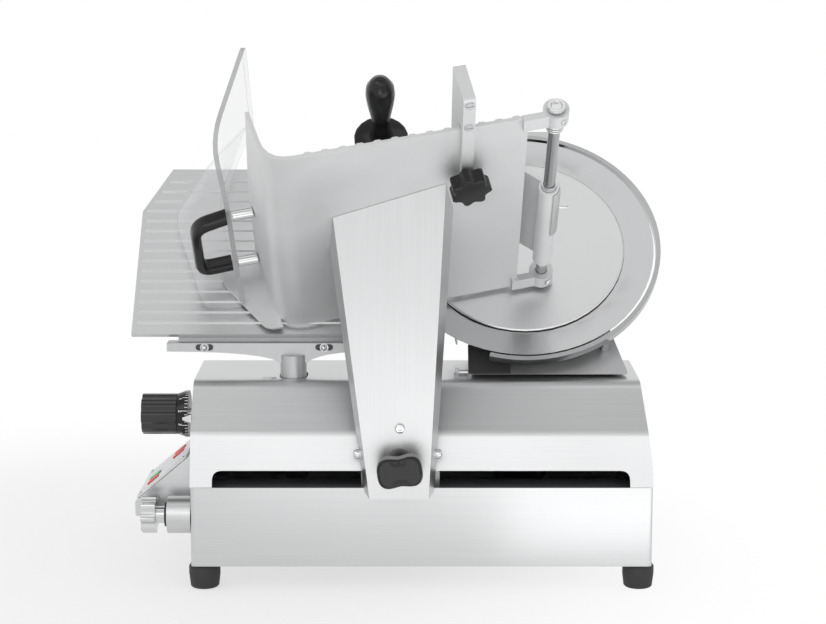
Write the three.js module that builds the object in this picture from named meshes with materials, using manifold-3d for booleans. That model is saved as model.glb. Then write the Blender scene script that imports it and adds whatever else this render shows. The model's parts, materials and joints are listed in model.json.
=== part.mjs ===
// Electric gravity-feed food slicer with a driven carriage, in millimetres, +Z up.
// X runs along the carriage's travel, Y away from the operator, and the feet stand on Z = 0.
import * as THREE from 'three';
import { mergeVertices } from 'three/addons/utils/BufferGeometryUtils.js';
import Module from 'manifold-3d';

const wasm = await Module();
wasm.setup();

// Driving dimensions: clearances and sheet
const gap = 0.3;
const sheet = 2;

// Base, cover and feet
const base = { left: -231, right: 249, front: 0, back: 330, bottom: 26, top: 110, corner: 5 };
const foot = { radius: 16.5, inset: 12.5 };
const cover = {
  kneeY: 15, kneeZ: 164, browY: 55, browZ: 212, ridgeY: 168, crown: 215,
  deckY: 250, deckZ: 155, tail: 148, lean: 10,
};
const fold = { knee: 5, brow: 10, ridge: 10, deck: 15, tail: 4 };
const hatch = { half: 42, front: 112, back: 158, corner: 6 };
const slot = { leftInset: 23, rightInset: 24, top: 127, corner: 10 };
const gland = { inset: 44, z: 62, radius: 12, bore: 5.5, length: 14 };

// Control panel on the left end
const panel = { front: 45, back: 160, bottom: 68, lip: 84, top: 133, reach: 63, plate: 2 };
const button = { width: 15, length: 11, height: 5, proud: 1.4, travel: 1, corner: 2 };
const seats = [{ x: 23, y: 74 }, { x: 23, y: 92 }, { x: 53, y: 114 }, { x: 53, y: 132 }];

// Blade head, in a frame whose Z is the blade's axis
const blade = { x: 120, y: 163, z: 344, radius: 144, slope: 42.7, hub: 60, back: -13, bevel: 12, dish: 28 };
const casting = {
  front: -22, back: -86, hub: 70, left: -62, right: 118, wall: 6, belly: 44, lid: 58, plate: 3,
};
const neck = { foot: -260, waist: -150, shoulder: 49, half: 50 };
const spindle = { radius: 10, flange: 24, tieRod: 4 };
const ring = { clear: 2.5, width: 5, front: 1.5, back: -8, sweep: 105, postAngle: -55, post: 5 };
const ringInner = blade.radius + ring.clear;
const ringOuter = ringInner + ring.width;
const sharpener = { left: 8, right: 46, foot: 32, above: 13 };
const belt = { middle: -71, width: 12, drop: 160, bladePulley: 32, motorPulley: 18, thickness: 3 };
const motor = { radius: 36, face: -82, end: -200, shaft: 7 };
const pedestal = { half: 24, front: 160, back: 200, top: 112 };

// Thickness gauge
const gauge = {
  left: -420, low: -117, high: 105, shoulder: 46, cut: 30, clear: 7,
  thick: 5, rib: 2, ribs: 15, pitch: 13.5, rim: 5,
};
const bracket = { left: 134, right: 81, flare: 30, deep: 9, front: 6, back: 14, pad: 5 };
const column = { x: -127, y: 80, radius: 14, travel: 15, track: 7, sink: 33 };
const knob = { y: 50, z: 178, radius: 21.5, length: 37, shaft: 6 };

// Carriage drive
const guide = { y: 40, z: 100, radius: 10, bush: 13, end: 7 };
const rail = { y: 74, z: 94, side: 12 };
const drive = { leftInset: 41, rightInset: 39, y: 120, z: 65, radius: 16, width: 10, belt: 2, clear: 4 };
const driveLeft = base.left + drive.leftInset;
const driveRight = base.right - drive.rightInset;

// The carriage belt runs at its own height, or just under the blade motor where that hangs lower
const steep = THREE.MathUtils.degToRad(blade.slope);
const motorDrop = belt.drop + motor.radius;
const beltBack = drive.y + drive.radius + drive.belt + gap;
const motorRun = (beltBack - blade.y + motorDrop * Math.sin(steep)) / Math.cos(steep);
const motorUnder = blade.z - motorDrop * Math.cos(steep) - motorRun * Math.sin(steep);
const driveZ = Math.min(drive.z, motorUnder - drive.clear - drive.width / 2);
const clutch = { y: 22, z: 76, boss: 19.5, bossLength: 25, knob: 20, stud: 5 };

// Carriage, tray and what rides on it
const arm = { front: -41, back: -6, bottom: 108, top: 450, sheet: 3, knobX: -13, knobZ: 144 };
const armKnob = { stud: 6, radius: 23, waist: 7, near: 15, far: 37, skirt: 18 };
const armFoot = { left: -44, right: 16, backLeft: -50, backRight: 22 };
const armHead = { left: -86, right: 34, backLeft: -96, backRight: 44 };
const carriage = { reach: 41, noseLeft: 27, noseRight: 25, bush: 24 };
const tray = { rodX: 18, rodW: -48, roll: 12.5, right: -28, corner: -283, floor: 4, near: 288, far: 4 };
const trayWall = { height: 90, lean: 9, flange: 54, brow: 24 };
const rib = { pitch: 17, height: 1.5, first: 12, margin: 35 };
const rod = { radius: 6, lug: 13, lugWidth: 16, past: 4 };
const fence = {
  u: -89, thick: 12, low: 20, past: 50, tall: 34, tongue: 6.5, knobS: 220, knobRadius: 21, stud: 4,
};
const pusher = { low: 36, high: 172, bush: 7.6, barrel: 10.5, sheet: 5, deck: 44, handleN: 52, handleS: 221 };
const paddle = { right: -115, wallGap: 48, low: 4, rows: 2, toothPitch: 25, rowPitch: 18, handle: 13 };
const guard = {
  far: 8, thick: 4, standoffN: 74, standoffs: [112, 30], standoff: 6, clear: 34, seat: 12.4, handle: 40,
};

// Finishes: colour, roughness, metalness
const finishes = {
  stainless: [0xc9cbcc, 0.32, 1],
  satin: [0xbfc1c2, 0.45, 1],
  polished: [0xdadcdd, 0.12, 1],
  cast: [0xb4b6b8, 0.5, 1],
  dark: [0x2b2d30, 0.5, 0.6],
  black: [0x111213, 0.32, 0],
  rubber: [0x1a1a1b, 0.8, 0],
  clear: [0xeef3f4, 0.06, 0],
  panel: [0xd4d6d8, 0.5, 0],
  red: [0xd8342f, 0.4, 0],
  green: [0x35a457, 0.4, 0],
};

// Solid helpers
function withoutSlivers(geometry) {
  const flat = geometry.index ? geometry.toNonIndexed() : geometry.clone();
  flat.deleteAttribute('normal');
  flat.deleteAttribute('uv');
  const merged = mergeVertices(flat, 1e-4);
  const corners = merged.index.array;
  const kept = [];
  for (let i = 0; i < corners.length; i += 3) {
    const [a, b, c] = corners.slice(i, i + 3);
    if (a !== b && b !== c && c !== a) kept.push(a, b, c);
  }
  return { vertices: Float32Array.from(merged.attributes.position.array), triangles: Uint32Array.from(kept) };
}

function toSolid(geometry) {
  const whole = { vertices: geometry.attributes.position.array, triangles: geometry.index?.array };
  const { vertices, triangles } = geometry.userData.whole ? whole : withoutSlivers(geometry);
  return new wasm.Manifold(new wasm.Mesh({ numProp: 3, vertProperties: vertices, triVerts: triangles }));
}

function toGeometry(solid) {
  const mesh = solid.getMesh();
  const geometry = new THREE.BufferGeometry();
  geometry.setAttribute('position', new THREE.BufferAttribute(mesh.vertProperties, 3));
  geometry.setIndex(new THREE.BufferAttribute(mesh.triVerts, 1));
  geometry.computeVertexNormals();
  geometry.userData.whole = true;
  return geometry;
}

const join = (...pieces) => toGeometry(pieces.map(toSolid).reduce((sum, next) => sum.add(next)));
const less = (rest, tool) => rest.subtract(tool);
const cut = (body, ...tools) => toGeometry(tools.map(toSolid).reduce(less, toSolid(body)));
const common = (a, b) => toGeometry(toSolid(a).intersect(toSolid(b)));

// An outline from [x, y, rounding] corners
function outline(corners) {
  const shape = new THREE.Shape();
  corners.forEach(([x, y, rounding = 0], i) => {
    const corner = new THREE.Vector2(x, y);
    const [bx, by] = corners.at(i - 1);
    const [ax, ay] = corners[(i + 1) % corners.length];
    const entry = new THREE.Vector2(bx - x, by - y).setLength(rounding).add(corner);
    const exit = new THREE.Vector2(ax - x, ay - y).setLength(rounding).add(corner);
    if (i === 0) shape.moveTo(entry.x, entry.y);
    else shape.lineTo(entry.x, entry.y);
    if (rounding > 0) shape.quadraticCurveTo(x, y, exit.x, exit.y);
  });
  shape.closePath();
  return shape;
}

// A round outline whose radius dips between its lobes, in narrower grooves where sharpness is higher
function lobed(radius, dip, lobes, steps = 6, sharpness = 1) {
  const count = lobes * steps;
  const points = Array.from({ length: count }, (_, i) => {
    const turn = (2 * Math.PI * i) / count;
    const r = radius - dip * ((1 - Math.cos(lobes * turn)) / 2) ** sharpness;
    return new THREE.Vector2(r * Math.cos(turn), r * Math.sin(turn));
  });
  return new THREE.Shape(points);
}

function rectangle(x0, x1, y0, y1, rounding = 0) {
  return outline([[x0, y0, rounding], [x1, y0, rounding], [x1, y1, rounding], [x0, y1, rounding]]);
}

// Prisms and bars along each axis
function alongZ(shape, from, to, curveSegments = 5) {
  const solid = new THREE.ExtrudeGeometry(shape, { depth: to - from, bevelEnabled: false, curveSegments });
  return solid.translate(0, 0, from);
}

const axisX = new THREE.Matrix4().set(0, 0, 1, 0, 1, 0, 0, 0, 0, 1, 0, 0, 0, 0, 0, 1);
const axisY = new THREE.Matrix4().makeRotationX(Math.PI / 2);
const alongX = (shape, from, to, steps) => alongZ(shape, from, to, steps).applyMatrix4(axisX);
const alongY = (shape, from, to, steps) => alongZ(shape, -to, -from, steps).applyMatrix4(axisY);

function box(x0, x1, y0, y1, z0, z1) {
  const block = new THREE.BoxGeometry(x1 - x0, y1 - y0, z1 - z0);
  return block.translate((x0 + x1) / 2, (y0 + y1) / 2, (z0 + z1) / 2);
}

function pin(radius, from, to, sides = 18) {
  const bar = new THREE.CylinderGeometry(radius, radius, to - from, sides);
  return bar.rotateX(Math.PI / 2).translate(0, 0, (from + to) / 2);
}

const quarter = Math.PI / 2;
const pinX = (r, from, to, y, z, sides) => pin(r, from, to, sides).rotateY(quarter).translate(0, y, z);
const pinY = (r, from, to, x, z, sides) => pin(r, from, to, sides).rotateX(-quarter).translate(x, 0, z);

function signedVolume(geometry) {
  const { vertices, triangles } = withoutSlivers(geometry);
  const at = (i) => new THREE.Vector3().fromArray(vertices, 3 * triangles[i]);
  let volume = 0;
  for (let i = 0; i < triangles.length; i += 3) volume += at(i).dot(at(i + 1).cross(at(i + 2))) / 6;
  return volume;
}

// A turned piece about Z from [radius, height] points
function turned(profile, sides = 32) {
  const spin = (points) => new THREE.LatheGeometry(points.map(([r, z]) => new THREE.Vector2(r, z)), sides);
  const solid = spin(profile);
  const outward = signedVolume(solid) > 0 ? solid : spin([...profile].reverse());
  return outward.rotateX(Math.PI / 2);
}

function tube(inner, outer, from, to, sides) {
  return turned([[inner, from], [outer, from], [outer, to], [inner, to], [inner, from]], sides);
}

// A block between two level ends that have as many corners as each other
function loft(lower, upper) {
  const count = lower.length;
  const geometry = new THREE.BufferGeometry();
  geometry.setAttribute('position', new THREE.Float32BufferAttribute([...lower, ...upper].flat(), 3));
  const sides = lower.flatMap((_, i) => {
    const j = (i + 1) % count;
    return [i, j, j + count, i, j + count, i + count];
  });
  const ends = lower.slice(2).flatMap((_, i) => [0, i + 2, i + 1, count, count + i + 1, count + i + 2]);
  geometry.setIndex([...ends, ...sides]);
  return geometry;
}

// Frames: the machine, the blade head and the tray
const radians = THREE.MathUtils.degToRad;
const machine = new THREE.Group();
const bladeHead = new THREE.Group();
bladeHead.position.set(blade.x, blade.y, blade.z);
bladeHead.rotation.x = radians(90 - blade.slope);
machine.add(bladeHead);
const trayFrame = new THREE.Group();
trayFrame.position.set(tray.rodX, tray.rodW, 0);
trayFrame.rotation.z = radians(tray.roll);
bladeHead.add(trayFrame);
const panelFrame = new THREE.Group();
panelFrame.position.set(base.left - panel.reach, 0, panel.lip);
panelFrame.rotation.y = -Math.atan2(panel.top - panel.lip, panel.reach - 5);
machine.add(panelFrame);
machine.updateMatrixWorld(true);
const fromBlade = (geometry) => geometry.applyMatrix4(bladeHead.matrixWorld);
const toBlade = (geometry) => geometry.applyMatrix4(bladeHead.matrixWorld.clone().invert());
const fromTray = (geometry) => geometry.applyMatrix4(trayFrame.matrixWorld);
const fromPanel = (geometry) => geometry.applyMatrix4(panelFrame.matrixWorld);

function add(parent, name, geometry, finish) {
  const [color, roughness, metalness] = finishes[finish];
  const mesh = new THREE.Mesh(geometry, new THREE.MeshStandardMaterial({ color, roughness, metalness }));
  mesh.name = name;
  parent.add(mesh);
}

// Base box, floor plate and feet
function addBase() {
  const walls = rectangle(base.left, base.right, base.front, base.back, base.corner);
  const hollow = [base.left + sheet, base.right - sheet, base.front + sheet, base.back - sheet];
  walls.holes.push(rectangle(...hollow, base.corner - sheet));
  add(machine, 'base_housing', alongZ(walls, base.bottom, base.top), 'stainless');

  const inset = sheet + gap;
  const edges = [base.left + inset, base.right - inset, base.front + inset, base.back - inset];
  const plate = alongZ(rectangle(...edges, base.corner), base.bottom, base.bottom + sheet);
  const [under, over] = [driveZ - drive.width / 2 - gap, driveZ + drive.width / 2];
  const axle = pin(drive.radius / 3, base.bottom + 1, over).translate(driveRight, drive.y, 0);
  const step = pin(drive.radius / 2, base.bottom + 1, under).translate(driveRight, drive.y, 0);
  add(machine, 'bottom_plate', join(plate, axle, step), 'satin');

  const { radius } = foot;
  const profile = [[0, 0], [radius - 3, 0], [radius - 1.5, 1.5], [radius, base.bottom - 12],
    [radius, base.bottom - 4], [radius - 2.5, base.bottom - gap], [0, base.bottom - gap]];
  const sides = { left: base.left + foot.inset, right: base.right - foot.inset };
  const rows = { front: base.front + foot.inset + 6, rear: base.back - foot.inset - 6 };
  for (const [row, y] of Object.entries(rows)) {
    for (const [side, x] of Object.entries(sides)) {
      add(machine, `foot_${row}_${side}`, turned(profile, 20).translate(x, y, 0), 'rubber');
    }
  }
  const lead = tube(gland.bore, gland.radius, 0, gland.length, 6);
  lead.rotateX(-Math.PI / 2).translate(base.right - gland.inset, base.back + gap, gland.z);
  add(machine, 'cable_gland', lead, 'black');
}

// Folded hump cover with its carriage slot and the openings for the blade head and the gauge column
function addCover() {
  const seam = base.top + gap;
  const hump = (inset, floor) => outline([
    [base.front + inset, floor],
    [cover.kneeY + inset, cover.kneeZ - 0.3 * inset, fold.knee],
    [cover.browY + 0.6 * inset, cover.browZ - inset, fold.brow],
    [cover.ridgeY - 0.3 * inset, cover.crown - inset, fold.ridge],
    [cover.deckY - 0.3 * inset, cover.deckZ - inset, fold.deck],
    [base.back - inset, cover.tail - inset, fold.tail],
    [base.back - inset, floor],
  ]);
  const ends = (inset, floor) => alongY(outline([
    [base.left + inset, floor],
    [base.right - inset, floor],
    [base.right - inset, slot.top],
    [base.right - cover.lean - inset, cover.crown + 1],
    [base.left + inset, cover.crown + 1],
  ]), base.front - 1, base.back + 1);
  const skin = common(alongX(hump(0, seam), base.left, base.right), ends(0, seam));
  const hollow = common(alongX(hump(sheet, seam - 1), base.left, base.right), ends(sheet, seam - 1));
  const [from, to] = [base.left + slot.leftInset, base.right - slot.rightInset];
  const notch = alongY(rectangle(from, to, seam - 2 * slot.corner, slot.top, slot.corner), -1, cover.kneeY);
  const reach = column.radius + 1;
  const travelY = column.travel * Math.cos(radians(blade.slope));
  const [holeFront, holeBack] = [column.y - reach, column.y + travelY + reach];
  const columnHole = rectangle(column.x - reach, column.x + reach, holeFront, holeBack, reach);
  const { half, front, back, corner } = hatch;
  const beltHole = rectangle(blade.x - half, blade.x + half, front, back, corner);
  const shaftHole = pinX(knob.shaft + gap, base.left - 1, base.left + sheet + 1, knob.y, knob.z);
  const above = cover.crown - 10;
  add(machine, 'upper_cover', cut(skin, hollow, notch, shaftHole,
    alongZ(columnHole, above, cover.crown + 1), alongZ(beltHole, above, cover.crown + 1)), 'stainless');
}

// Wedge-shaped control panel with four keys
function addPanel() {
  const outer = base.left - panel.reach;
  const wedge = alongY(outline([
    [base.left - gap, panel.bottom],
    [outer, panel.bottom, 3],
    [outer, panel.lip],
    [base.left - 5, panel.top],
    [base.left - gap, panel.top],
  ]), panel.front, panel.back);
  const slant = Math.hypot(panel.reach - 5, panel.top - panel.lip);
  const pocket = ({ x, y }, clearance, from, to) => alongZ(rectangle(
    x - button.width / 2 - clearance, x + button.width / 2 + clearance,
    y - button.length / 2 - clearance, y + button.length / 2 + clearance, button.corner), from, to, 3);
  const depth = panel.plate + gap + button.proud - button.height;
  const wells = seats.map((seat) => fromPanel(pocket(seat, gap, depth - button.travel - gap, 10)));
  add(machine, 'control_panel_box', cut(wedge, ...wells), 'stainless');

  const face = alongZ(rectangle(3, slant - 3, panel.front + 3, panel.back - 3, 4), gap, gap + panel.plate);
  const windows = seats.map((seat) => pocket(seat, gap, -1, 10));
  add(panelFrame, 'control_panel_face', cut(face, ...windows), 'panel');
  const names = ['stop_button', 'start_button', 'carriage_stop_button', 'carriage_start_button'];
  const colours = ['red', 'green', 'red', 'red'];
  seats.forEach((seat, i) => {
    add(panelFrame, names[i], pocket(seat, 0, depth, depth + button.height), colours[i]);
  });
}

// Casting that carries the spindle, with its belt cover, ring guard, sharpener seat and deflector
function addBladeHead() {
  const { front, back } = casting;
  const pillar = outline([[casting.left, neck.foot], [casting.right, neck.foot],
    [casting.right - 10, neck.waist], [neck.half, neck.shoulder, 10], [-neck.half, neck.shoulder, 10]]);
  const round = new THREE.Shape().absarc(0, 0, casting.hub, 0, 2 * Math.PI, false);
  const body = join(alongZ(pillar, back, front), alongZ(round, back, front, 12));
  const inner = casting.hub - casting.wall;
  const { belly, lid: half, plate } = casting;
  const cavity = rectangle(-belly, belly, neck.foot - 2, 0);
  const [open, deep] = [back - 1, belt.middle + belt.width / 2 + 5];
  const hollow = join(alongZ(cavity, open, deep), pin(inner - 14, open, deep, 36));
  const bore = pin(spindle.radius + gap, back, front + 1);
  const deck = toBlade(box(-300, 500, -300, 600, -300, cover.crown + gap));
  add(bladeHead, 'blade_frame', cut(body, hollow, bore, deck), 'cast');

  const flap = alongZ(rectangle(-half, half, neck.foot - 2, 0), -plate, 0);
  const lid = join(flap, pin(inner, -plate, 0, 36)).translate(0, 0, back - gap);
  const tieHole = pin(spindle.tieRod + gap, back - 10, back + 1);
  add(bladeHead, 'belt_cover', cut(lid, tieHole, deck), 'stainless');

  const sweep = radians(ring.sweep);
  const arc = new THREE.Shape();
  arc.absarc(0, 0, ringOuter, -sweep, sweep, false);
  arc.absarc(0, 0, ringInner, sweep, -sweep, true);
  const post = new THREE.Vector3((ringInner + ringOuter) / 2, 0, 0);
  post.applyAxisAngle(new THREE.Vector3(0, 0, 1), radians(ring.postAngle));
  const lug = pin(ring.post, front + gap, ring.back + 1).translate(...post);
  add(bladeHead, 'blade_ring_guard', join(alongZ(arc, ring.back, ring.front, 30), lug), 'polished');

  const { left, right, foot: low, above } = sharpener;
  const stem = box(left, right, low, ringOuter + above, front + gap, blade.back - 2);
  const head = box(left, right, ringInner + 1, ringOuter + above, front + gap, ring.back - gap);
  add(bladeHead, 'sharpener_seat', join(stem, head), 'satin');

  const flow = new THREE.Shape();
  flow.moveTo(-114, -14);
  flow.quadraticCurveTo(-76, -20, -casting.hub - gap, -80);
  flow.lineTo(-casting.hub - gap - 2, -80);
  flow.quadraticCurveTo(-78, -22, -114, -16);
  add(bladeHead, 'slice_deflector', alongY(flow, -80, 80, 8), 'stainless');
}

// Knife, its hollow spindle and pulley, and the cover plate held by a tie rod through the spindle
function addBlade() {
  const { radius, hub: boss, back, bevel, dish } = blade;
  const bore = spindle.radius + gap;
  const web = back + 4;
  const [step, edge] = [radius - dish, radius - bevel];
  const knife = [[bore, web], [boss, web], [step, web + 4], [step + 4, -1.5], [edge, -0.7], [radius, 0],
    [radius, -0.8], [edge, -4], [step, web], [boss, back], [bore, back], [bore, web]];
  add(bladeHead, 'blade', turned(knife, 60), 'polished');

  const hole = spindle.tieRod + gap;
  const seat = back - gap;
  const shoulder = casting.front + 2;
  const tail = casting.back + 5;
  const { radius: thin, flange: wide } = spindle;
  const shaft = [[hole, web + 2], [thin, web + 2], [thin, seat], [wide, seat], [wide, shoulder],
    [thin, shoulder], [thin, tail], [hole, tail], [hole, web + 2]];
  add(bladeHead, 'blade_spindle', turned(shaft, 18), 'satin');

  const [low, high] = [belt.middle - belt.width / 2 - 2, belt.middle + belt.width / 2 + 2];
  const grooved = (inner, outer) => [[inner, low], [outer + 3, low], [outer + 3, low + 1.5],
    [outer, low + 1.7], [outer, high - 1.7], [outer + 3, high - 1.5], [outer + 3, high],
    [inner, high], [inner, low]];
  add(bladeHead, 'blade_pulley', turned(grooved(spindle.radius + gap, belt.bladePulley), 24), 'dark');
  const lower = turned(grooved(motor.shaft + gap, belt.motorPulley), 18);
  add(bladeHead, 'motor_pulley', lower.translate(0, -belt.drop, 0), 'dark');

  const loop = (grow) => {
    const [r1, r2] = [belt.bladePulley + grow, belt.motorPulley + grow];
    const lean = Math.asin((r1 - r2) / belt.drop);
    const shape = new THREE.Shape();
    shape.absarc(0, 0, r1, -lean, Math.PI + lean, false);
    shape.absarc(0, -belt.drop, r2, Math.PI + lean, 2 * Math.PI - lean, false);
    shape.closePath();
    return shape;
  };
  const band = loop(gap + belt.thickness);
  band.holes.push(loop(gap));
  const flat = alongZ(band, belt.middle - belt.width / 2, belt.middle + belt.width / 2, 10);
  add(bladeHead, 'blade_belt', flat, 'rubber');

  const knobBack = casting.back - gap - casting.plate - gap;
  const rodEnd = knobBack - 11;
  const rim = radius - dish - 4;
  const plate = [[0, -1.5], [rim - 2, -1.5], [rim, -3], [rim, -4.2], [spindle.tieRod, -4.2],
    [spindle.tieRod, rodEnd], [0, rodEnd]];
  add(bladeHead, 'blade_cover', turned(plate, 48), 'polished');
  const grip = alongZ(lobed(17, 3, 6), knobBack - 18, knobBack - 4);
  const collar = pin(9, knobBack - 5, knobBack);
  const hub = pin(spindle.tieRod + gap, knobBack - 12, knobBack + 1);
  add(bladeHead, 'blade_cover_knob', cut(join(grip, collar), hub), 'black');
}

// Blade motor on its pedestal inside the base
function addMotor() {
  const can = turned([[0, motor.end], [motor.radius - 6, motor.end], [motor.radius, motor.end + 6],
    [motor.radius, motor.face - 4], [motor.radius - 8, motor.face], [motor.shaft, motor.face],
    [motor.shaft, belt.middle + belt.width / 2], [0, belt.middle + belt.width / 2]], 28);
  const body = fromBlade(can.translate(0, -belt.drop, 0));
  const { half, front, back, top } = pedestal;
  const stand = box(blade.x - half, blade.x + half, front, back, base.bottom + sheet + gap, top);
  add(machine, 'blade_motor', join(body, stand), 'dark');
}

// Ribbed gauge plate, its bracket and column, and the guide that it slides on
function addGauge() {
  const { left: l, low, high } = gauge;
  const arc = blade.radius + gauge.clear;
  const plan = (inset) => {
    const shape = new THREE.Shape();
    const reach = arc + inset;
    const head = Math.acos((high - inset) / reach);
    const heel = Math.acos((low + inset) / reach);
    shape.moveTo(l + inset, low + inset);
    shape.lineTo(l + inset, gauge.shoulder);
    shape.lineTo(l + gauge.cut + inset, high - inset);
    shape.absarc(0, 0, reach, Math.PI / 2 + head, Math.PI / 2 + heel, false);
    shape.closePath();
    return shape;
  };
  const back = -gauge.rib - gauge.thick;
  const plate = alongZ(plan(0), back, -gauge.rib, 12);
  const first = (low + high) / 2 - ((gauge.ribs - 1) / 2) * gauge.pitch;
  const ribs = Array.from({ length: gauge.ribs }, (_, i) => {
    const w = first + i * gauge.pitch;
    return alongX(outline([[w - 4, -gauge.rib - 1], [w + 4, -gauge.rib - 1], [w + 2, 0], [w - 2, 0]]), l, 0);
  });
  const raised = common(join(...ribs), alongZ(plan(gauge.rim), -gauge.rib - 0.5, 1, 12));
  add(bladeHead, 'gauge_plate', join(plate, raised), 'satin');

  const heel = fromBlade(box(0, 1, low - 8, low - 7, back - gap - bracket.pad, back - gap));
  heel.computeBoundingBox();
  const top = heel.boundingBox.min.z + 5.2;
  const foot = cover.crown + 13;
  const arch = new THREE.Shape();
  const [start, stop, under] = [column.x - bracket.left, column.x + bracket.right, top - bracket.deep];
  arch.moveTo(start, top);
  arch.lineTo(stop, top);
  arch.lineTo(stop, under);
  arch.quadraticCurveTo(column.x + bracket.flare, under, column.x + column.radius, foot);
  arch.lineTo(column.x - column.radius, foot);
  arch.quadraticCurveTo(column.x - bracket.flare, under, start, under);
  arch.closePath();
  const web = alongY(arch, column.y - bracket.front, column.y + bracket.back, 6);
  const pad = fromBlade(box(l + 50, -arc - 23, low - 8, low + 55, back - gap - bracket.pad, back - gap));
  const deep = cover.crown - column.sink;
  const post = pin(column.radius, deep + 8, foot + 8).translate(column.x, column.y, 0);
  const slider = box(column.x - 20, column.x + 20, column.y - 10, column.y + 26, deep - 16, deep + 16);
  const along = new THREE.Matrix4().makeRotationX(radians(90 - blade.slope));
  const centre = new THREE.Vector3(column.x, column.y + 8, deep);
  const track = (radius, down, up) => pin(radius, -down, up).applyMatrix4(along).translate(...centre);
  const bore = track(column.track + gap, 60, 26 + column.travel + 1);
  add(machine, 'gauge_bracket', cut(join(web, pad, post, slider), bore), 'cast');

  const floor = base.bottom + sheet + gap;
  const stand = [column.x - 12, column.x + 12];
  const legFront = column.y + 44;
  const legs = box(...stand, legFront, legFront + 6, floor, deep - 18);
  const toe = box(...stand, legFront - 12, legFront + 26, floor, floor + 4 - gap);
  add(machine, 'gauge_guide', join(track(column.track, 52, 26), legs, toe), 'satin');
}

// Thickness knob with its flared dial on the left end, and the shaft that drives the gauge
function addThicknessKnob() {
  const end = base.left - 4;
  const dialEnd = end - 12;
  const knobEnd = dialEnd - knob.length;
  const grip = alongX(lobed(knob.radius, 2, 8, 10, 5), knobEnd, dialEnd - gap).translate(0, knob.y, knob.z);
  const socket = pinX(knob.shaft + gap, knobEnd + 6, dialEnd + 1, knob.y, knob.z);
  add(machine, 'thickness_knob', cut(grip, socket), 'black');
  const dial = turned([[knob.shaft + gap, 0], [knob.radius, 0], [knob.radius + 3, 9], [knob.radius + 3, 12],
    [knob.shaft + gap, 12], [knob.shaft + gap, 0]], 28);
  add(machine, 'thickness_dial', dial.rotateY(Math.PI / 2).translate(dialEnd, knob.y, knob.z), 'black');
  const shaftEnd = column.x - 23;
  const shaft = pinX(knob.shaft, knobEnd + 6 + gap, shaftEnd, knob.y, knob.z);
  const cam = pinX(2 * knob.shaft, shaftEnd - 8, shaftEnd, knob.y, knob.z);
  add(machine, 'thickness_shaft', join(shaft, cam), 'satin');
}

// Round guide rod, square rail and their end brackets, with the gearmotor and belt that drive the carriage
function addCarriageDrive() {
  const [start, stop] = [base.left + sheet + gap, base.right - sheet - gap];
  const rodStart = start + guide.end;
  const rodStop = stop - guide.end;
  add(machine, 'carriage_guide_rod', pinX(guide.radius, rodStart, rodStop, guide.y, guide.z), 'polished');
  const half = rail.side / 2;
  const square = (grow) => {
    const side = half + grow;
    return rectangle(rail.y - side, rail.y + side, rail.z - side, rail.z + side);
  };
  add(machine, 'carriage_rail', alongX(square(0), rodStart, rodStop), 'satin');
  const [holdStart, holdStop] = [rodStart - gap, rodStop + gap];
  const rodHole = pinX(guide.radius + gap, holdStart, holdStop, guide.y, guide.z);
  const hold = join(rodHole, alongX(square(gap), holdStart, holdStop));
  const cheek = rectangle(guide.y - 16, rail.y + 12, base.bottom + sheet + gap, guide.z + 16, 5);
  add(machine, 'rod_bracket_left', cut(alongX(cheek, start, rodStart + guide.end), hold), 'cast');
  add(machine, 'rod_bracket_right', cut(alongX(cheek, rodStop - guide.end, stop), hold), 'cast');

  const [low, high] = [driveZ - drive.width / 2, driveZ + drive.width / 2];
  const shaft = drive.radius / 3;
  const can = rectangle(driveLeft - 30, driveLeft + 30, drive.y - 28, drive.y + 28, 8);
  const body = alongZ(can, base.bottom + sheet + gap, low - 4);
  const output = pin(shaft, low - 5, high).translate(driveLeft, drive.y, 0);
  add(machine, 'carriage_gearmotor', join(body, output), 'dark');
  const wheel = () => tube(shaft + gap, drive.radius, low, high, 18);
  add(machine, 'carriage_drive_pulley', wheel().translate(driveLeft, drive.y, 0), 'dark');
  add(machine, 'carriage_idler_pulley', wheel().translate(driveRight, drive.y, 0), 'dark');
  const capsule = (grow) => {
    const shape = new THREE.Shape();
    const r = drive.radius + grow;
    shape.absarc(driveLeft, drive.y, r, Math.PI / 2, 1.5 * Math.PI, false);
    shape.absarc(driveRight, drive.y, r, -Math.PI / 2, Math.PI / 2, false);
    shape.closePath();
    return shape;
  };
  const band = capsule(gap + drive.belt);
  band.holes.push(capsule(gap));
  add(machine, 'carriage_belt', alongZ(band, low + 1, high - 1, 8), 'rubber');

  const bossEnd = base.left - gap - clutch.bossLength;
  const boss = pinX(clutch.boss, bossEnd, base.left - gap, clutch.y, clutch.z, 32);
  const bore = pinX(clutch.stud + gap, bossEnd - 1, base.left - gap - 6, clutch.y, clutch.z);
  add(machine, 'clutch_boss', cut(boss, bore), 'satin');
  const star = alongX(lobed(clutch.knob, 4.5, 8), bossEnd - 27, bossEnd - 12);
  star.translate(0, clutch.y, clutch.z);
  const neck = pinX(9, bossEnd - 13, bossEnd - gap, clutch.y, clutch.z);
  const stud = pinX(clutch.stud, bossEnd - 1, base.left - gap - 7, clutch.y, clutch.z);
  add(machine, 'clutch_knob', join(star, neck, stud), 'polished');
}

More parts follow.
